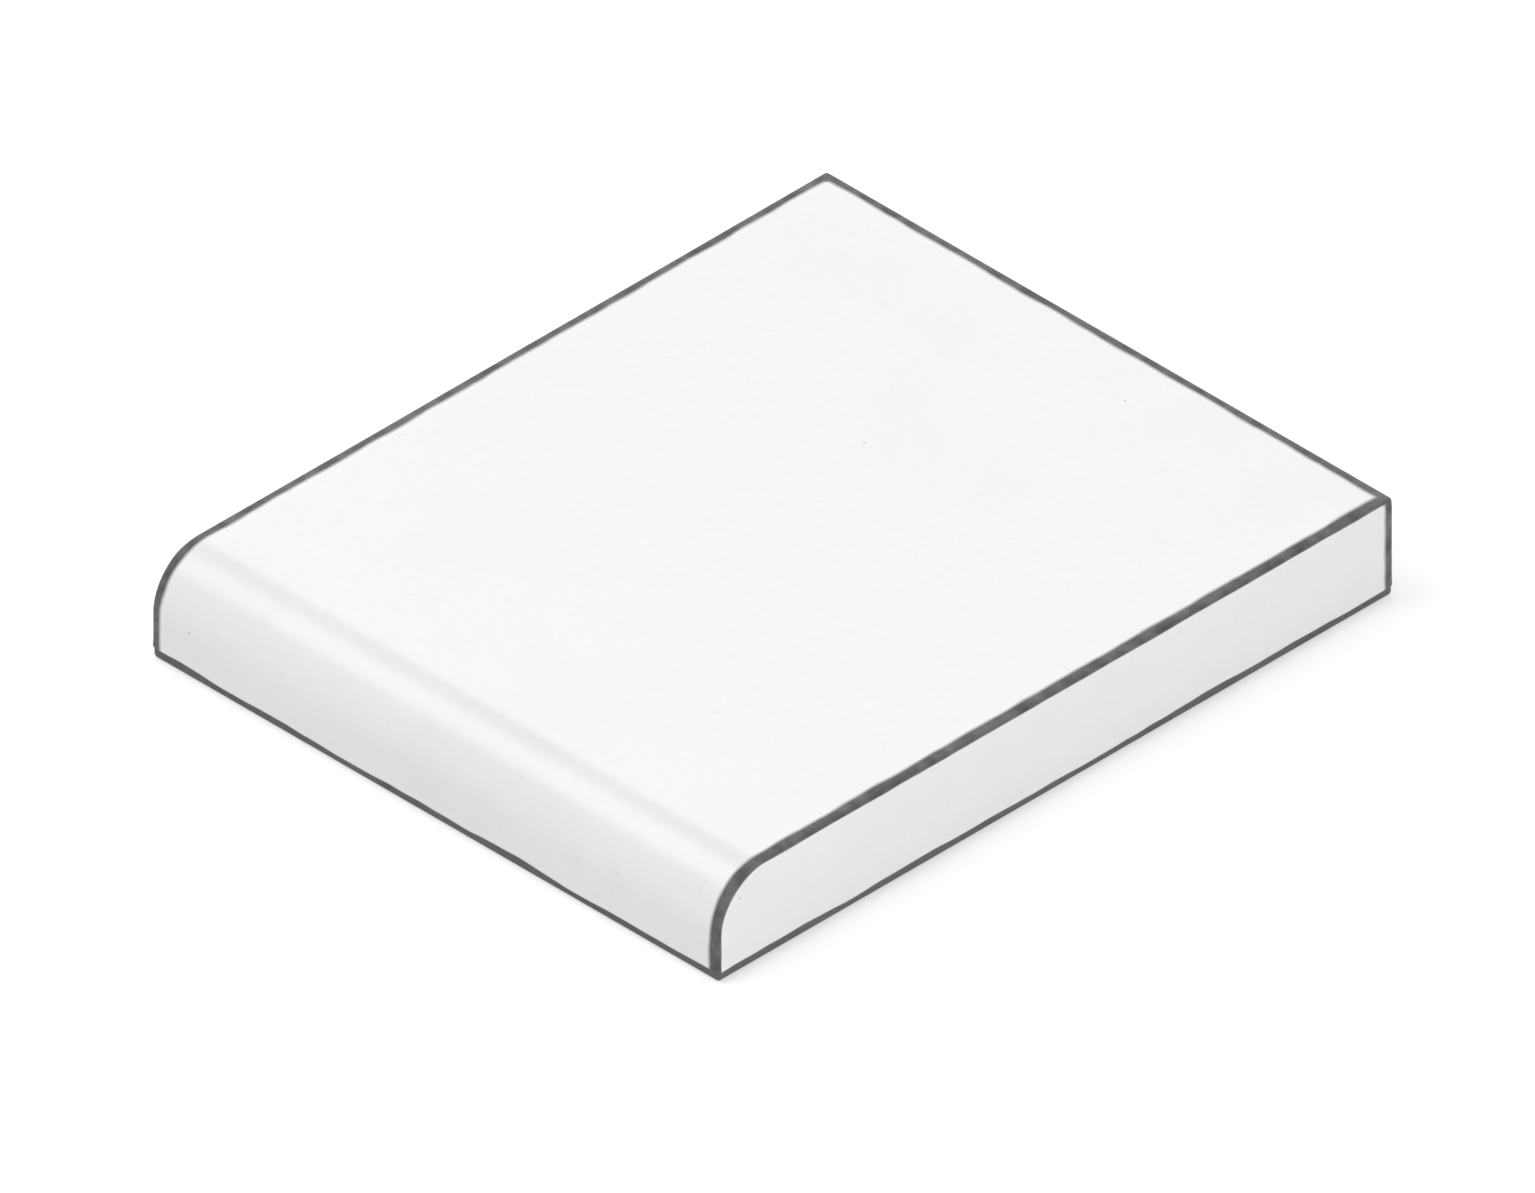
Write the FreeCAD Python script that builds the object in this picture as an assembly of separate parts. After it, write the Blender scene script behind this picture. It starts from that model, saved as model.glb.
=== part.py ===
# Bullnose tile: one pressed and fired ceramic slab, lying on its bed face.
#
# Frame, in millimetres: the origin is the centre of the bed face, +Z is up out of the
# glazed face, X runs along the rounded nose, and the nose faces -Y.
#
# Seen from the end, the slab is a rectangle whose top front corner is a quarter round.
# A flat nose face rises from the bed and turns over the nose radius into the top face.
# The back and both ends are square. Every other edge has the small arris of a pressed
# tile. The bed face has shallow channels that key the adhesive. They stop short of the
# slab's edges, so that none of them shows from outside.
import FreeCAD
import Part
import math
import os

# The slab
TILE_WIDTH = 128.0       # from end to end, along the nose
TILE_DEPTH = 152.4       # from the nose face to the back face
TILE_THICKNESS = 19.05
NOSE_RADIUS = 10.5       # about half the thickness, so a flat nose face is left below it
ARRIS_RADIUS = 0.8       # every edge but the nose's two tangent lines

# The channels of the keyed bed face, which run along the nose
KEY_PITCH = 14.0         # from one channel's middle line to the next
KEY_WIDTH = 8.0          # at the mouth
KEY_DEPTH = 1.0
KEY_DRAFT = 30.0         # lean of a channel's walls, in degrees, for release from the die
KEY_MARGIN = 8.0         # plain border between the channels and the slab's edges

NODE = "bullnose_tile"
HALF_WIDTH = TILE_WIDTH / 2
HALF_DEPTH = TILE_DEPTH / 2


def point(x, y, z):
    return FreeCAD.Vector(x, y, z)


def end_section():
    """The slab's outline at its left end, drawn in the YZ plane from the foot of the nose."""
    x = -HALF_WIDTH
    nose, back, top = -HALF_DEPTH, HALF_DEPTH, TILE_THICKNESS
    foot = point(x, nose, 0)
    spring = point(x, nose, top - NOSE_RADIUS)
    crown = point(x, nose + NOSE_RADIUS, top)
    sag = NOSE_RADIUS * (1 - math.cos(math.radians(45)))
    mid_nose = point(x, nose + sag, top - sag)
    back_top = point(x, back, top)
    back_foot = point(x, back, 0)
    edges = [
        Part.makeLine(foot, spring),
        Part.Arc(spring, mid_nose, crown).toShape(),
        Part.makeLine(crown, back_top),
        Part.makeLine(back_top, back_foot),
        Part.makeLine(back_foot, foot),
    ]
    return Part.Face(Part.Wire(edges))


def is_tangent_line(edge):
    """True for the two lines along the nose where its radius meets the flat faces."""
    box = edge.BoundBox
    off_bed = box.ZMin > ARRIS_RADIUS
    off_back = box.YMax < HALF_DEPTH - ARRIS_RADIUS
    return box.XLength > HALF_WIDTH and off_bed and off_back


def blank():
    """The slab with its nose and its arrises, before the bed face is keyed."""
    slab = end_section().extrude(point(TILE_WIDTH, 0, 0))
    return slab.makeFillet(ARRIS_RADIUS, [e for e in slab.Edges if not is_tangent_line(e)])


def channel_outline(length, width, y, z):
    """A slot shape with round ends, centred on X = 0."""
    radius = width / 2
    straight = length / 2 - radius
    front, back = y - radius, y + radius
    right_tip = point(straight + radius, y, z)
    left_tip = point(-straight - radius, y, z)
    corners = [point(side * straight, edge, z) for edge in (front, back) for side in (-1, 1)]
    front_left, front_right, back_left, back_right = corners
    edges = [
        Part.makeLine(front_left, front_right),
        Part.Arc(front_right, right_tip, back_right).toShape(),
        Part.makeLine(back_right, back_left),
        Part.Arc(back_left, left_tip, front_left).toShape(),
    ]
    return Part.Wire(edges)


def channel(y):
    """The space of one channel, narrowing from its mouth on the bed face to its floor."""
    length = TILE_WIDTH - 2 * KEY_MARGIN
    taper = 2 * KEY_DEPTH * math.tan(math.radians(KEY_DRAFT))
    mouth = channel_outline(length, KEY_WIDTH, y, 0)
    floor = channel_outline(length - taper, KEY_WIDTH - taper, y, KEY_DEPTH)
    return Part.makeLoft([mouth, floor], True, True)


def channel_places():
    """Middle lines of the channels, in pairs each side of a rib that crosses the origin."""
    reach = HALF_DEPTH - KEY_MARGIN - KEY_WIDTH / 2
    pairs = int(reach / KEY_PITCH + 0.5)
    return [side * (n + 0.5) * KEY_PITCH for n in range(pairs) for side in (-1, 1)]


def tile():
    return blank().cut([channel(y) for y in channel_places()])


os.makedirs("parts", exist_ok=True)
solid = tile().Solids[0]
solid.exportStep("parts/" + NODE + ".step")
print(NODE, "valid:", solid.isValid(), "volume in cm3:", round(solid.Volume / 1000, 2))
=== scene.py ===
# Bullnose tile: one slab of dark grey fired clay under a white gloss glaze, lying on its
# bed face.
#
# The slab's skin is one mesh. A profile in the YZ plane is carried along X, and drawn in
# at both ends for the arrises there, and the channels are cut from the bed face. Then the
# glaze's relief goes over the skin: it swells and sinks a little, falls away towards the
# square edges of the top face, and ends in an uneven lip just above the bed face. Over the
# edges the glaze is so thin that the dark clay shows.
import bpy
import bmesh
import math
from mathutils import Matrix, Vector, noise


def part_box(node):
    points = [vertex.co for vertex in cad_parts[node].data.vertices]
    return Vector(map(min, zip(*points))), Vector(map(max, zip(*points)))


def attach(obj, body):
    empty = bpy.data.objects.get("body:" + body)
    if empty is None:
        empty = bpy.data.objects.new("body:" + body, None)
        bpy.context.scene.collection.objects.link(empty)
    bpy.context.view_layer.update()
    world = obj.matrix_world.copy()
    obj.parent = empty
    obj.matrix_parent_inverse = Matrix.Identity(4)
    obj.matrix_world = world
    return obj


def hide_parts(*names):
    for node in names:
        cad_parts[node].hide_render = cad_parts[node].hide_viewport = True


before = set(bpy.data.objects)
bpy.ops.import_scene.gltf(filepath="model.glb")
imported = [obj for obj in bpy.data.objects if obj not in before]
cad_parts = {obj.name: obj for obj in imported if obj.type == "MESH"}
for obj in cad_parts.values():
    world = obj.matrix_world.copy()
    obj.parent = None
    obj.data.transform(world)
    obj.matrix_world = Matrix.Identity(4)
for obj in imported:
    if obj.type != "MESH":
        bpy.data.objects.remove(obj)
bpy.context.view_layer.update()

MM = 0.001
NODE = "bullnose_tile"
SLOT = "glazed_clay"

# The slab. Its overall size is the frame's.
slab_low, slab_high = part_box(NODE)
WIDTH, DEPTH, THICKNESS = slab_high - slab_low
HALF_WIDTH = WIDTH / 2
HALF_DEPTH = DEPTH / 2
NOSE_RADIUS = 10.5 * MM
ARRIS_RADIUS = 0.8 * MM

# The channels of the keyed bed face
KEY_PITCH = 14.0 * MM
KEY_WIDTH = 8.0 * MM
KEY_DEPTH = 1.0 * MM
KEY_DRAFT = math.radians(30)
KEY_MARGIN = 8.0 * MM
KEY_OVERCUT = 0.5 * MM     # how far the cutting shape starts below the bed face
KEY_END_STEPS = 24         # round each end of a channel

# The grid of the skin
GRID = 1.0 * MM            # on the top face and the bed face
TOP_STEPS = round((DEPTH - NOSE_RADIUS) / GRID)
NOSE_STEPS = 16
ARRIS_STEPS = 5
LIP_BAND = 4.0 * MM        # fine rows up to this height, where the glaze ends
LIP_STEPS = 14
LOWER_STEPS = 5            # from there up to where the nose springs
UPPER_STEPS = 9            # from the spring of the nose up to the top face
WELD = 0.001 * MM
CREASE = math.radians(35)  # edges sharper than this stay crisp, at the channels

# The relief of the glaze
GLAZE_THICKNESS = 0.18 * MM
GLAZE_FOOT = 1.75 * MM     # mean height of its lower edge above the bed face
FOOT_CHANGES = (           # wavelength and height of the lower edge's unevenness
    (16 * MM, 0.50 * MM),
    (4 * MM, 0.14 * MM),
)
LIP_SOFTNESS = 0.30 * MM   # distance over which the glaze falls to the bare clay
LIP_BEAD = 0.09 * MM       # how far the lip stands proud of the glaze above it
LIP_BEAD_WIDTH = 0.7 * MM
BED_FADE = 0.4 * MM        # the relief is gone at the bed face and whole at this height
PILLOW_WIDTH = 6.0 * MM    # the top face sinks towards its square edges over this distance
PILLOW_DEPTH = 0.16 * MM
SWELLS = (                 # wavelength and height of the glaze's unevenness
    (46 * MM, 0.050 * MM),
    (17 * MM, 0.014 * MM),
    (6 * MM, 0.0045 * MM),
)
FOOT_LAYER = 1             # the first layer of noise that each kind of unevenness takes
SWELL_LAYER = 5
LAYER_SPACING = 37.5       # from one layer to the next, in wavelengths

# What the mesh tells the material about each of its points, in millimetres
MARGIN_NAME = "glaze_margin_mm"
EDGE_NAME = "edge_distance_mm"
FACE_DRAW = 0.31           # what a distance counts for where the glaze draws back further

# The colours of the glaze and of the clay under it
GLAZE_WHITE = (0.87, 0.865, 0.85, 1)
GLAZE_CREAM = (0.855, 0.848, 0.828, 1)
GLAZE_MILK = (0.83, 0.832, 0.822, 1)
GLAZE_PINPOINT = (0.62, 0.60, 0.56, 1)
GLAZE_SPECK = (0.36, 0.34, 0.31, 1)
GLAZE_BREAK = (0.046, 0.045, 0.043, 1)
CLAY = (0.150, 0.145, 0.137, 1)
CLAY_DARK = (0.080, 0.077, 0.072, 1)
CLAY_GROG = (0.045, 0.043, 0.040, 1)

# Patches of noise, with their size in millimetres. Noise at start gives low, or 0, and
# noise at end gives high, or 1. The two for the edges vary how far the thin glaze reaches
# and how thin it is.
CREAM = {"size": 22.0, "start": 0.4, "end": 0.7}
MILK = {"size": 1.6, "detail": 3.0, "start": 0.5, "end": 0.8}
EDGE_STRETCH = {"size": 9.0, "start": 0.3, "end": 0.7, "low": 0.94, "high": 1.08}
EDGE_STRENGTH = {"size": 3.0, "start": 0.2, "end": 0.8, "low": 0.88}
GLAZE_ROUGHNESS = {"size": 16.0, "start": 0.35, "end": 0.7, "low": 0.05, "high": 0.085}
CLAY_ROUGHNESS = {"size": 1.2, "start": 0.3, "end": 0.7, "low": 0.78, "high": 0.9}
GRAIN = {"size": 0.45, "detail": 4.0, "start": 0.3, "end": 0.75}
BLOTCHES = {"size": 9.0, "start": 0.35, "end": 0.75}

# Round spots. Their spacing and radius are in millimetres, and only a share of the places
# for one has it.
PINPOINTS = {"spacing": 2.6, "radius": 0.09, "share": 0.35}
SPECKS = {"spacing": 7.0, "radius": 0.22, "share": 0.25}
PINHOLES = {"spacing": 4.0, "radius": 0.16, "share": 0.3}
GROG = {"spacing": 1.6, "radius": 0.28, "share": 0.3}
PORES = {"spacing": 1.1, "radius": 0.22, "share": 0.4}
SPOT_CORE = 0.6            # the share of a spot's radius that is at full strength

# The rest of the material. Lengths are in millimetres.
THIN_WHOLLY = 0.50         # the glaze over an edge is at its thinnest up to this distance
THIN_NO_MORE = 0.80        # and has its whole thickness from here on
EDGE_DRYNESS = 0.50        # added to the glaze's roughness where it is thinnest
RIM_BLUR = 0.12            # how far the glaze's lower edge is blurred, up and down
GRAIN_WEIGHT = 0.5         # how much of the dark clay each of them brings in
BLOTCH_WEIGHT = 0.3
PEEL = {"size": 2.4, "detail": 1.0}
PEEL_HEIGHT = 0.006
PINHOLE_DEPTH = 0.02
GRIT = {"size": 0.35, "detail": 5.0}
GRIT_HEIGHT = 0.06
PORE_DEPTH = 0.06
GLAZE_IOR = 1.52

# The stage
WHITE = (1, 1, 1, 1)
SKY_LEVEL = 0.60           # what the open surroundings add to the light on the slab
FLOOR_SIZE = 8.0
FLOOR_PALE = (0.80, 0.80, 0.80, 1)
FLOOR_LIFT = 0.36          # added for the camera, so that the open floor reads white
FLOOR_NEAR = 0.13          # the shadow is kept this far out, and is gone at the next
FLOOR_FAR = 0.34
LAMPS = (                  # name, way from the slab, distance, size and radiance
    ("key", (-0.38, -0.38, 0.84), 1.1, 1.3, 2.2),
    ("sheen", (-1, 1, 1), 1.6, 1.1, 1.5),
    ("fill", (0.9, -0.25, 0.35), 1.2, 1.2, 3.0),
)
LAMP_CENTRE = 0.5          # across a lamp's face, from 0 to 1
LAMP_CORE = 0.1            # this far from its centre a lamp starts to fade

# The drawing's frame in pixels, and the place of the slab's origin in it
IMAGE_WIDTH = 1535
IMAGE_HEIGHT = 1193
PIXELS_PER_METRE = 6268.2
ORIGIN_PIXEL = (772.7, 625.2)
CAMERA_DISTANCE = 0.7


def steps(start, end, count):
    """Even steps after start, of which the last is end."""
    return [start + (end - start) * (n + 1) / count for n in range(count)]


def smooth(value, start, end):
    """0 at start, 1 at end and an even slope between them."""
    t = min(max((value - start) / (end - start), 0), 1)
    return t * t * (3 - 2 * t)


def unevenness(point, waves, first_layer):
    """The height at a point of several waves of noise, each in a layer of its own."""
    total = 0
    for layer, (length, height) in enumerate(waves, first_layer):
        total += height * noise.noise(point / length + Vector((0, 0, LAYER_SPACING * layer)))
    return total


def arc(centre, radius, start, end, count):
    """Points and outward directions round an arc, in degrees, without its first point."""
    turns = [math.radians(a) for a in steps(start, end, count)]
    ways = [Vector((math.cos(a), math.sin(a))) for a in turns]
    return [(Vector(centre) + radius * way, way) for way in ways]


def side_heights():
    """Heights of the rows up a side from the bed's arris, as far as the spring of the nose."""
    fine = steps(ARRIS_RADIUS, LIP_BAND, LIP_STEPS)
    return [ARRIS_RADIUS] + fine + steps(LIP_BAND, THICKNESS - NOSE_RADIUS, LOWER_STEPS)


def nose_and_top(inset):
    """The nose and the top face in the YZ plane, moved into the slab by inset."""
    front, up = Vector((-1, 0)), Vector((0, 1))
    crown, spring = NOSE_RADIUS - HALF_DEPTH, THICKNESS - NOSE_RADIUS
    places = steps(crown, HALF_DEPTH - ARRIS_RADIUS, TOP_STEPS)
    first = (Vector((inset - HALF_DEPTH, spring)), front)
    nose = arc((crown, spring), NOSE_RADIUS - inset, 180, 90, NOSE_STEPS)
    return [first] + nose + [(Vector((y, THICKNESS - inset)), up) for y in places]


def profile():
    """The slab's whole outline in the YZ plane, from the foot of the nose round to it again.

    Each point comes with its outward direction.
    """
    front, back, down = Vector((-1, 0)), Vector((1, 0)), Vector((0, -1))
    inner, upper = HALF_DEPTH - ARRIS_RADIUS, THICKNESS - ARRIS_RADIUS
    heights = side_heights()
    upper_heights = steps(upper, heights[-1], UPPER_STEPS)
    bed_places = [p.x for p, way in nose_and_top(ARRIS_RADIUS)[-2::-1]]
    outline = [(Vector((-HALF_DEPTH, z)), front) for z in heights[:-1]]
    outline += nose_and_top(0)
    outline += arc((inner, upper), ARRIS_RADIUS, 90, 0, ARRIS_STEPS)
    outline += [(Vector((HALF_DEPTH, z)), back) for z in upper_heights + heights[-2::-1]]
    outline += arc((inner, ARRIS_RADIUS), ARRIS_RADIUS, 0, -90, ARRIS_STEPS)
    outline += [(Vector((y, 0)), down) for y in bed_places]
    outline += arc((-inner, ARRIS_RADIUS), ARRIS_RADIUS, -90, -180, ARRIS_STEPS)
    return outline


def stations():
    """Places along X, each with how far the outline is drawn in there."""
    straight = HALF_WIDTH - ARRIS_RADIUS
    count = round(2 * straight / GRID)
    middle = [(x, 0) for x in [-straight] + steps(-straight, straight, count)]
    bend = []
    for turn in steps(0, math.pi / 2, ARRIS_STEPS):
        x = straight + ARRIS_RADIUS * math.sin(turn)
        inset = ARRIS_RADIUS * (1 - math.cos(turn))
        bend.append((x, inset))
    return [(-x, inset) for x, inset in bend[::-1]] + middle + bend


def add_grid(mesh, rows):
    """Adds a sheet of quads between rows of points."""
    rows = [[mesh.verts.new(point) for point in row] for row in rows]
    for low_row, high_row in zip(rows, rows[1:]):
        for n in range(len(low_row) - 1):
            mesh.faces.new((low_row[n], low_row[n + 1], high_row[n + 1], high_row[n]))


def add_skin(mesh):
    """The outside of the slab, all but the two flat ends."""
    outline = profile()
    rows = []
    for x, inset in stations():
        flat = [point - inset * way for point, way in outline]
        rows.append([Vector((x, point.x, point.y)) for point in flat])
    add_grid(mesh, rows)


def add_end(mesh, x):
    """One flat end inside its arris, as columns that stand on the bed's arris."""
    lower = side_heights()
    columns = []
    for top, way in nose_and_top(ARRIS_RADIUS):
        heights = lower + steps(lower[-1], top.y, UPPER_STEPS)
        columns.append([Vector((x, top.x, z)) for z in heights])
    add_grid(mesh, columns)


def slab_mesh():
    """The slab before its channels, as one closed skin."""
    mesh = bmesh.new()
    add_skin(mesh)
    add_end(mesh, -HALF_WIDTH)
    add_end(mesh, HALF_WIDTH)
    bmesh.ops.remove_doubles(mesh, verts=mesh.verts, dist=WELD)
    bmesh.ops.dissolve_degenerate(mesh, edges=mesh.edges, dist=WELD)
    bmesh.ops.recalc_face_normals(mesh, faces=mesh.faces)
    return mesh


def channel_outline(y, z):
    """A channel's outline at one height, a slot shape that narrows upwards."""
    lean = z * math.tan(KEY_DRAFT)
    radius = KEY_WIDTH / 2 - lean
    straight = HALF_WIDTH - KEY_MARGIN - KEY_WIDTH / 2
    right = arc((straight, y), radius, -90, 90, KEY_END_STEPS)
    left = arc((-straight, y), radius, 90, 270, KEY_END_STEPS)
    return [Vector((point.x, point.y, z)) for point, way in right + left]


def add_channel(mesh, y):
    """The space of one channel, from below the bed face up to its floor."""
    mouth = [mesh.verts.new(p) for p in channel_outline(y, -KEY_OVERCUT)]
    floor = [mesh.verts.new(p) for p in channel_outline(y, KEY_DEPTH)]
    mesh.faces.new(mouth)
    mesh.faces.new(floor)
    for n in range(len(mouth)):
        mesh.faces.new((mouth[n - 1], mouth[n], floor[n], floor[n - 1]))


def channels_mesh():
    """The spaces of all the channels, in pairs each side of a rib that crosses the origin."""
    mesh = bmesh.new()
    reach = HALF_DEPTH - KEY_MARGIN - KEY_WIDTH / 2
    for pair in range(int(reach / KEY_PITCH + 0.5)):
        for side in (-1, 1):
            add_channel(mesh, side * (pair + 0.5) * KEY_PITCH)
    bmesh.ops.recalc_face_normals(mesh, faces=mesh.faces)
    return mesh


def new_object(name, mesh):
    """A new object in the scene that holds a bmesh."""
    data = bpy.data.meshes.new(name)
    mesh.to_mesh(data)
    mesh.free()
    made = bpy.data.objects.new(name, data)
    bpy.context.scene.collection.objects.link(made)
    return made


def cut(body, tool):
    """Takes the tool's volume out of the body and removes the tool."""
    modifier = body.modifiers.new("cut", "BOOLEAN")
    modifier.operation = "DIFFERENCE"
    modifier.solver = "EXACT"
    modifier.object = tool
    evaluated = body.evaluated_get(bpy.context.evaluated_depsgraph_get())
    result = bpy.data.meshes.new_from_object(evaluated)
    body.modifiers.clear()
    body.data = result
    bpy.data.objects.remove(tool)


def depth_below_path(point):
    """How deep a point lies below the nose face, the nose and the top face."""
    behind_crown = point.y + HALF_DEPTH - NOSE_RADIUS
    above_spring = point.z - THICKNESS + NOSE_RADIUS
    if behind_crown < 0 < above_spring:
        return NOSE_RADIUS - math.hypot(behind_crown, above_spring)
    return min(point.y + HALF_DEPTH, THICKNESS - point.z)


def glaze_margin(point):
    """Height above the glaze's lower edge, less than 0 where the clay is bare."""
    return point.z - GLAZE_FOOT - unevenness(point, FOOT_CHANGES, FOOT_LAYER)


def edge_distance(point):
    """Distance from the nearest arris, measured to the sharp edge that it rounds off.

    It counts for less on one side of an arris, where the glaze draws back further: on the
    nose face, the nose and the top face beside the ends and the back, and on the ends
    beside the back.
    """
    end = HALF_WIDTH - abs(point.x)
    back = HALF_DEPTH - point.y
    front = HALF_DEPTH + point.y
    path = max(depth_below_path(point), 0)
    bed = point.z
    edges = (
        (FACE_DRAW * end, path),
        (FACE_DRAW * back, THICKNESS - point.z),
        (end, FACE_DRAW * back),
        (end, bed),
        (back, bed),
        (front, bed),
    )
    return min(math.hypot(a, b) for a, b in edges)


def relief(point):
    """How far the skin stands out from the plain slab."""
    margin = glaze_margin(point)
    swell = unevenness(point, SWELLS, SWELL_LAYER)
    square_edge = min(HALF_WIDTH - abs(point.x), HALF_DEPTH - point.y)
    sunk = 1 - min(max(square_edge, 0) / PILLOW_WIDTH, 1)
    on_top = smooth(point.z, THICKNESS - 2 * ARRIS_RADIUS, THICKNESS)
    pillow = -PILLOW_DEPTH * sunk * sunk * on_top
    bead = LIP_BEAD * math.exp(-(margin / LIP_BEAD_WIDTH) ** 2)
    bare = 1 - smooth(margin, -LIP_SOFTNESS, LIP_SOFTNESS)
    height = (swell + pillow + bead) * (1 - bare) - GLAZE_THICKNESS * bare
    return height * smooth(point.z, 0, BED_FADE)


def in_channels(point):
    """True on the bed face and its channels, away from the slab's edges."""
    inside = min(HALF_WIDTH - abs(point.x), HALF_DEPTH - abs(point.y))
    return inside > KEY_MARGIN / 2 and point.z < 2 * KEY_DEPTH


def note_in_mm(data, name, lengths):
    """Keeps a length for each point of a mesh, for its material to read."""
    attribute = data.attributes.new(name, "FLOAT", "POINT")
    attribute.data.foreach_set("value", [length / MM for length in lengths])


def dress(data):
    """Lays the relief over the skin, and notes where the glaze and the edges are."""
    places = [vertex.co.copy() for vertex in data.vertices]
    outward = [vertex.normal.copy() for vertex in data.vertices]
    for vertex, point, way in zip(data.vertices, places, outward):
        if not in_channels(point):
            vertex.co = point + way * relief(point)
    note_in_mm(data, MARGIN_NAME, [glaze_margin(p) for p in places])
    note_in_mm(data, EDGE_NAME, [edge_distance(p) for p in places])
    data.shade_smooth()
    data.set_sharp_from_angle(angle=CREASE)


def cleared_tree(owner):
    """The emptied node tree of a material, a lamp or the world."""
    owner.use_nodes = True
    owner.node_tree.nodes.clear()
    return owner.node_tree


def add(tree, kind, inputs=None, **settings):
    """A new shader node, with its settings and with its inputs linked or set."""
    node = tree.nodes.new("ShaderNode" + kind)
    for name, value in settings.items():
        setattr(node, name, value)
    for name, value in (inputs or {}).items():
        if isinstance(value, bpy.types.NodeSocket):
            tree.links.new(value, node.inputs[name])
        else:
            node.inputs[name].default_value = value
    return node


def math_node(tree, operation, *values):
    """The result of a Math node."""
    return add(tree, "Math", dict(enumerate(values)), operation=operation).outputs[0]


def vector_node(tree, operation, inputs, output="Vector"):
    """A result of a Vector Math node."""
    return add(tree, "VectorMath", inputs, operation=operation).outputs[output]


def weighted(tree, first, first_weight, second, second_weight):
    """The sum of two values, each times its weight."""
    rest = math_node(tree, "MULTIPLY", second, second_weight)
    return math_node(tree, "MULTIPLY_ADD", first, first_weight, rest)


def blend_values(tree, factor, first, second):
    """A value between two."""
    return add(tree, "Mix", {0: factor, 2: first, 3: second}).outputs[0]


def blend(tree, factor, first, second):
    """A colour between two, each a colour or a socket."""
    inputs = {0: factor, 6: first, 7: second}
    return add(tree, "Mix", inputs, data_type="RGBA").outputs[2]


def ramp(tree, value, start, end, low=0.0, high=1.0):
    """value's way from start to end, smoothly, as a number from low to high."""
    inputs = {"Value": value, "From Min": start, "From Max": end, "To Min": low, "To Max": high}
    return add(tree, "MapRange", inputs, interpolation_type="SMOOTHSTEP").outputs["Result"]


def cloud(tree, place, size, detail=2.0):
    """Noise from 0 to 1 with blotches of about this size in millimetres."""
    inputs = {"Vector": place, "Scale": 1 / size, "Detail": detail, "Roughness": 0.5}
    return add(tree, "TexNoise", inputs).outputs["Fac"]


def patches(tree, place, size, start, end, low=0.0, high=1.0, detail=2.0):
    """Noise whose values from start to end are drawn out from low to high."""
    return ramp(tree, cloud(tree, place, size, detail), start, end, low, high)


def spots(tree, place, spacing, radius, share):
    """Round spots, of which only a share of the cells has one. Sizes are in millimetres."""
    cells = add(tree, "TexVoronoi", {"Vector": place, "Scale": 1 / spacing})
    luck = add(tree, "SeparateColor", {"Color": cells.outputs["Color"]}).outputs["Red"]
    kept = math_node(tree, "LESS_THAN", luck, share)
    rim = radius / spacing
    spot = ramp(tree, cells.outputs["Distance"], SPOT_CORE * rim, rim, 1.0, 0.0)
    return math_node(tree, "MULTIPLY", spot, kept)


def clay_colour(tree, place):
    """Dark grey fired clay with a fine grain, soft blotches and darker grog."""
    grain = patches(tree, place, **GRAIN)
    blotches = patches(tree, place, **BLOTCHES)
    tone = weighted(tree, grain, GRAIN_WEIGHT, blotches, BLOTCH_WEIGHT)
    colour = blend(tree, tone, CLAY, CLAY_DARK)
    return blend(tree, spots(tree, place, **GROG), colour, CLAY_GROG)


def glaze_thinness(tree, place, edge):
    """1 over the edges, where the glaze is so thin that the clay shows, and 0 elsewhere."""
    distance = math_node(tree, "MULTIPLY", edge, patches(tree, place, **EDGE_STRETCH))
    thin = ramp(tree, distance, THIN_WHOLLY, THIN_NO_MORE, 1.0, 0.0)
    return math_node(tree, "MULTIPLY", thin, patches(tree, place, **EDGE_STRENGTH))


def glaze_colour(tree, place, thin):
    """White glaze, faintly clouded and specked, with the clay's colour where it is thin."""
    colour = blend(tree, patches(tree, place, **CREAM), GLAZE_WHITE, GLAZE_CREAM)
    colour = blend(tree, patches(tree, place, **MILK), colour, GLAZE_MILK)
    colour = blend(tree, spots(tree, place, **PINPOINTS), colour, GLAZE_PINPOINT)
    colour = blend(tree, spots(tree, place, **SPECKS), colour, GLAZE_SPECK)
    return blend(tree, thin, colour, GLAZE_BREAK)


def roughness(tree, place, glazed, thin):
    """Gloss on the glaze, drier over the edges, and dull on the bare clay."""
    glaze = patches(tree, place, **GLAZE_ROUGHNESS)
    glaze = math_node(tree, "MULTIPLY_ADD", thin, EDGE_DRYNESS, glaze)
    return blend_values(tree, glazed, patches(tree, place, **CLAY_ROUGHNESS), glaze)


def surface_bump(tree, place, glazed):
    """Orange peel and pinholes in the glaze, and grit and pores in the bare clay."""
    peel = cloud(tree, place, **PEEL)
    pinholes = spots(tree, place, **PINHOLES)
    glaze_height = weighted(tree, peel, PEEL_HEIGHT, pinholes, -PINHOLE_DEPTH)
    grit = cloud(tree, place, **GRIT)
    pores = spots(tree, place, **PORES)
    clay_height = weighted(tree, grit, GRIT_HEIGHT, pores, -PORE_DEPTH)
    height = blend_values(tree, glazed, clay_height, glaze_height)
    bump = add(tree, "Bump", {"Height": height, "Distance": MM, "Strength": 1.0})
    return bump.outputs["Normal"]


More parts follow.
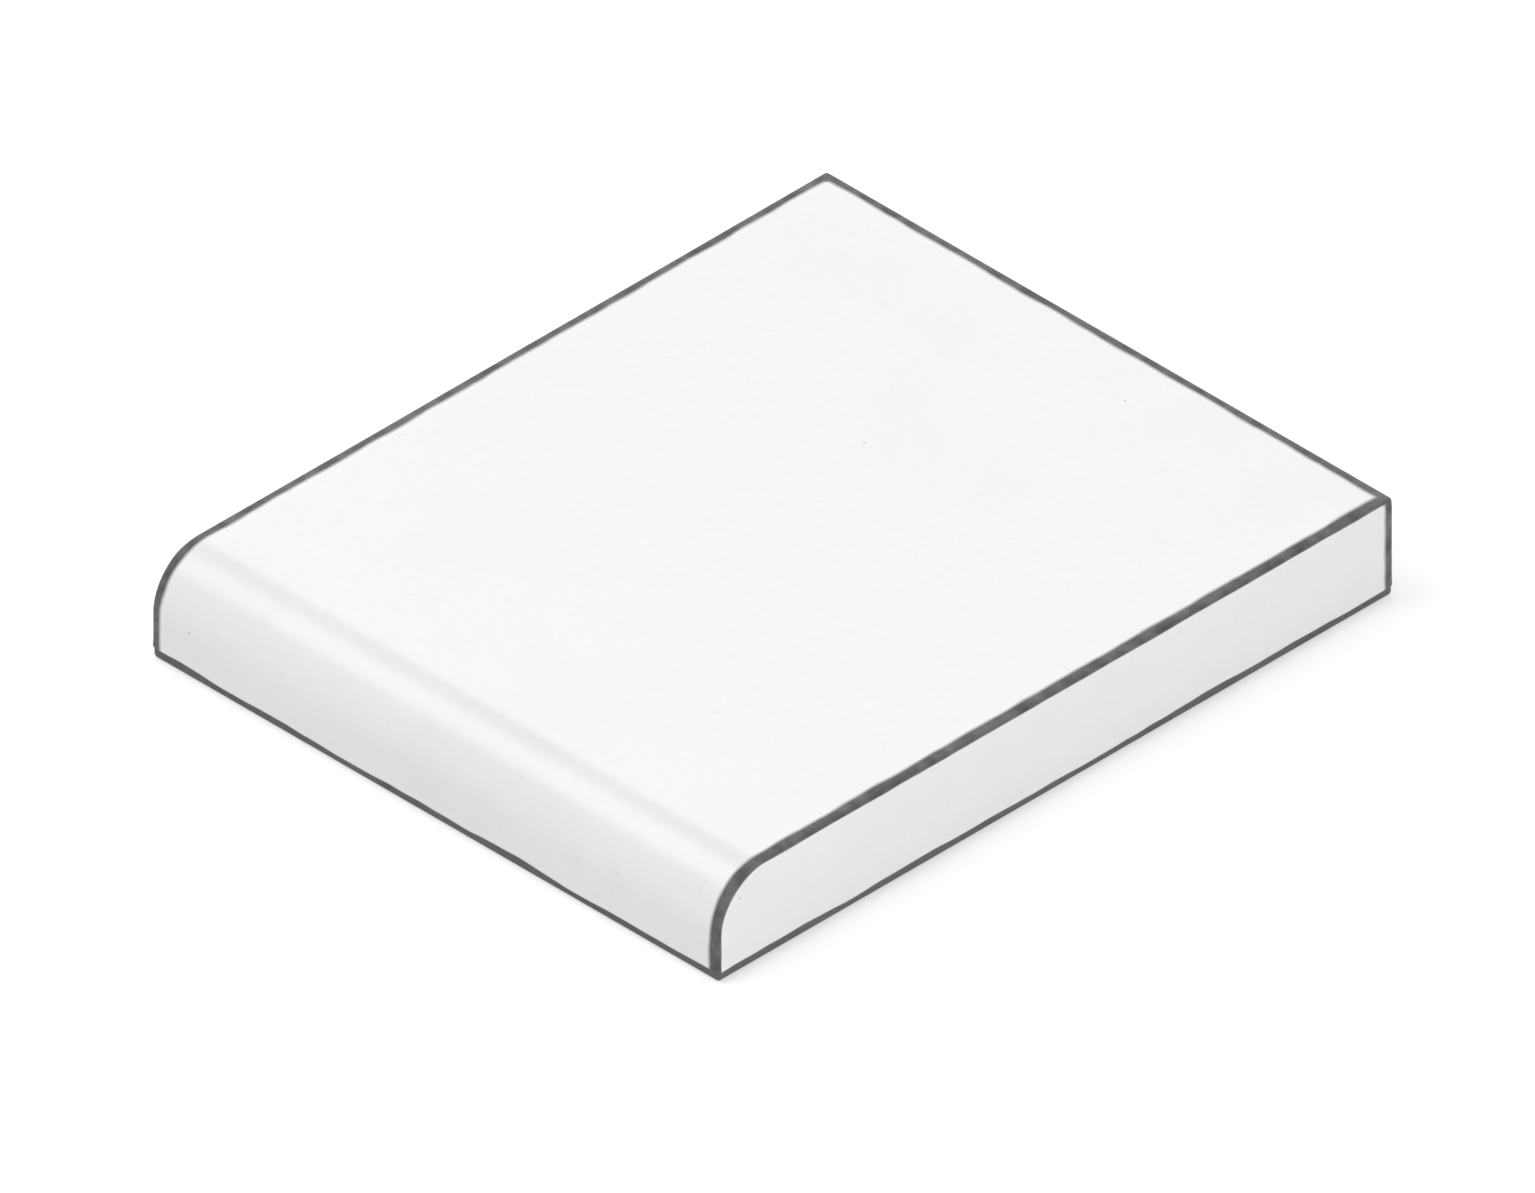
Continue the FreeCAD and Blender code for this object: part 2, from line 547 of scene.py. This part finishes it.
def glazed_clay():
    """The slab's material: glaze where the margin is over 0, and bare clay below it."""
    material = bpy.data.materials.new(SLOT)
    tree = cleared_tree(material)
    metres = add(tree, "TexCoord").outputs["Object"]
    place = vector_node(tree, "SCALE", {0: metres, "Scale": 1 / MM})
    margin = add(tree, "Attribute", attribute_name=MARGIN_NAME).outputs["Fac"]
    edge = add(tree, "Attribute", attribute_name=EDGE_NAME).outputs["Fac"]
    glazed = ramp(tree, margin, -RIM_BLUR, RIM_BLUR)
    thin = glaze_thinness(tree, place, edge)
    glaze = glaze_colour(tree, place, thin)
    shader = add(tree, "BsdfPrincipled", {
        "Base Color": blend(tree, glazed, clay_colour(tree, place), glaze),
        "Roughness": roughness(tree, place, glazed, thin),
        "Normal": surface_bump(tree, place, glazed),
        "IOR": GLAZE_IOR,
    })
    add(tree, "OutputMaterial", {"Surface": shader.outputs["BSDF"]})
    return material


def make_tile():
    """The whole tile, in place of the frame's plain slab."""
    tile = new_object("tile_slab", slab_mesh())
    cut(tile, new_object("channels", channels_mesh()))
    dress(tile.data)
    tile.data.materials.clear()
    tile.data.materials.append(glazed_clay())
    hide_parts(NODE)
    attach(tile, "root")


def seen_directly(tree):
    """1 for rays from the camera, off a gloss or through glass, and 0 for light that bounces."""
    path = add(tree, "LightPath").outputs
    seen = math_node(tree, "MAXIMUM", path["Is Camera Ray"], path["Is Glossy Ray"])
    return math_node(tree, "MAXIMUM", seen, path["Is Transmission Ray"])


def emission(tree, strength):
    """White light of this strength."""
    return add(tree, "Emission", {"Color": WHITE, "Strength": strength}).outputs["Emission"]


def floor_material():
    """Pale and matt round the slab, where it keeps the shadow, and plain white further out."""
    material = bpy.data.materials.new("floor")
    tree = cleared_tree(material)
    seen = seen_directly(tree)
    matt = add(tree, "BsdfDiffuse", {"Color": FLOOR_PALE}).outputs["BSDF"]
    lift = emission(tree, math_node(tree, "MULTIPLY", seen, FLOOR_LIFT))
    near = add(tree, "AddShader", {0: matt, 1: lift}).outputs["Shader"]
    metres = add(tree, "TexCoord").outputs["Object"]
    distance = vector_node(tree, "LENGTH", {0: metres}, "Value")
    far = math_node(tree, "MULTIPLY", ramp(tree, distance, FLOOR_NEAR, FLOOR_FAR), seen)
    surface = add(tree, "MixShader", {0: far, 1: near, 2: emission(tree, 1.0)})
    add(tree, "OutputMaterial", {"Surface": surface.outputs["Shader"]})
    return material


def make_floor():
    """A square floor under the slab."""
    mesh = bmesh.new()
    bmesh.ops.create_grid(mesh, x_segments=1, y_segments=1, size=FLOOR_SIZE / 2)
    floor = new_object("floor", mesh)
    floor.data.materials.append(floor_material())


def make_surroundings():
    """White to look at, and a plain even light on the slab."""
    world = bpy.data.worlds.new("surroundings")
    bpy.context.scene.world = world
    tree = cleared_tree(world)
    level = math_node(tree, "MULTIPLY_ADD", seen_directly(tree), 1 - SKY_LEVEL, SKY_LEVEL)
    sky = add(tree, "Background", {"Color": WHITE, "Strength": level})
    add(tree, "OutputWorld", {"Surface": sky.outputs["Background"]})


def soften_edges(data):
    """Makes a lamp fade from its middle to its edges, as the cloth of a softbox does."""
    tree = cleared_tree(data)
    across = add(tree, "NewGeometry").outputs["Parametric"]
    centre = (LAMP_CENTRE, LAMP_CENTRE, 0)
    from_centre = vector_node(tree, "SUBTRACT", {0: across, 1: centre})
    flat = vector_node(tree, "MULTIPLY", {0: from_centre, 1: (1, 1, 0)})
    distance = vector_node(tree, "LENGTH", {0: flat}, "Value")
    glow = emission(tree, ramp(tree, distance, LAMP_CORE, LAMP_CENTRE, 1.0, 0.0))
    add(tree, "OutputLight", {"Surface": glow})


def make_softbox(name, way, distance, size, radiance):
    """A square lamp at a distance in one direction from the middle of the top face."""
    data = bpy.data.lights.new(name, "AREA")
    data.shape = "SQUARE"
    data.size = size
    data.energy = radiance * math.pi * size * size
    soften_edges(data)
    lamp = bpy.data.objects.new(name, data)
    lamp.location = Vector((0, 0, THICKNESS)) + Vector(way).normalized() * distance
    lamp.rotation_euler = Vector(way).to_track_quat("Z", "Y").to_euler()
    lamp.visible_camera = False
    bpy.context.scene.collection.objects.link(lamp)


def make_camera():
    """An isometric view: the nose to the lower left and the right end to the lower right."""
    back = Vector((1, -1, 1)).normalized()
    right = Vector((1, 1, 0)).normalized()
    up = back.cross(right)
    centre_right = (IMAGE_WIDTH / 2 - ORIGIN_PIXEL[0]) / PIXELS_PER_METRE
    centre_up = (ORIGIN_PIXEL[1] - IMAGE_HEIGHT / 2) / PIXELS_PER_METRE
    data = bpy.data.cameras.new("camera")
    data.type = "ORTHO"
    data.ortho_scale = IMAGE_WIDTH / PIXELS_PER_METRE
    camera = bpy.data.objects.new("camera", data)
    turn = Matrix((right, up, back)).transposed()
    camera.location = right * centre_right + up * centre_up + back * CAMERA_DISTANCE
    camera.rotation_euler = turn.to_euler()
    bpy.context.scene.collection.objects.link(camera)
    bpy.context.scene.camera = camera


make_camera()
make_surroundings()
for lamp in LAMPS:
    make_softbox(*lamp)
make_floor()
make_tile()

bpy.context.scene.view_settings.view_transform = "Standard"
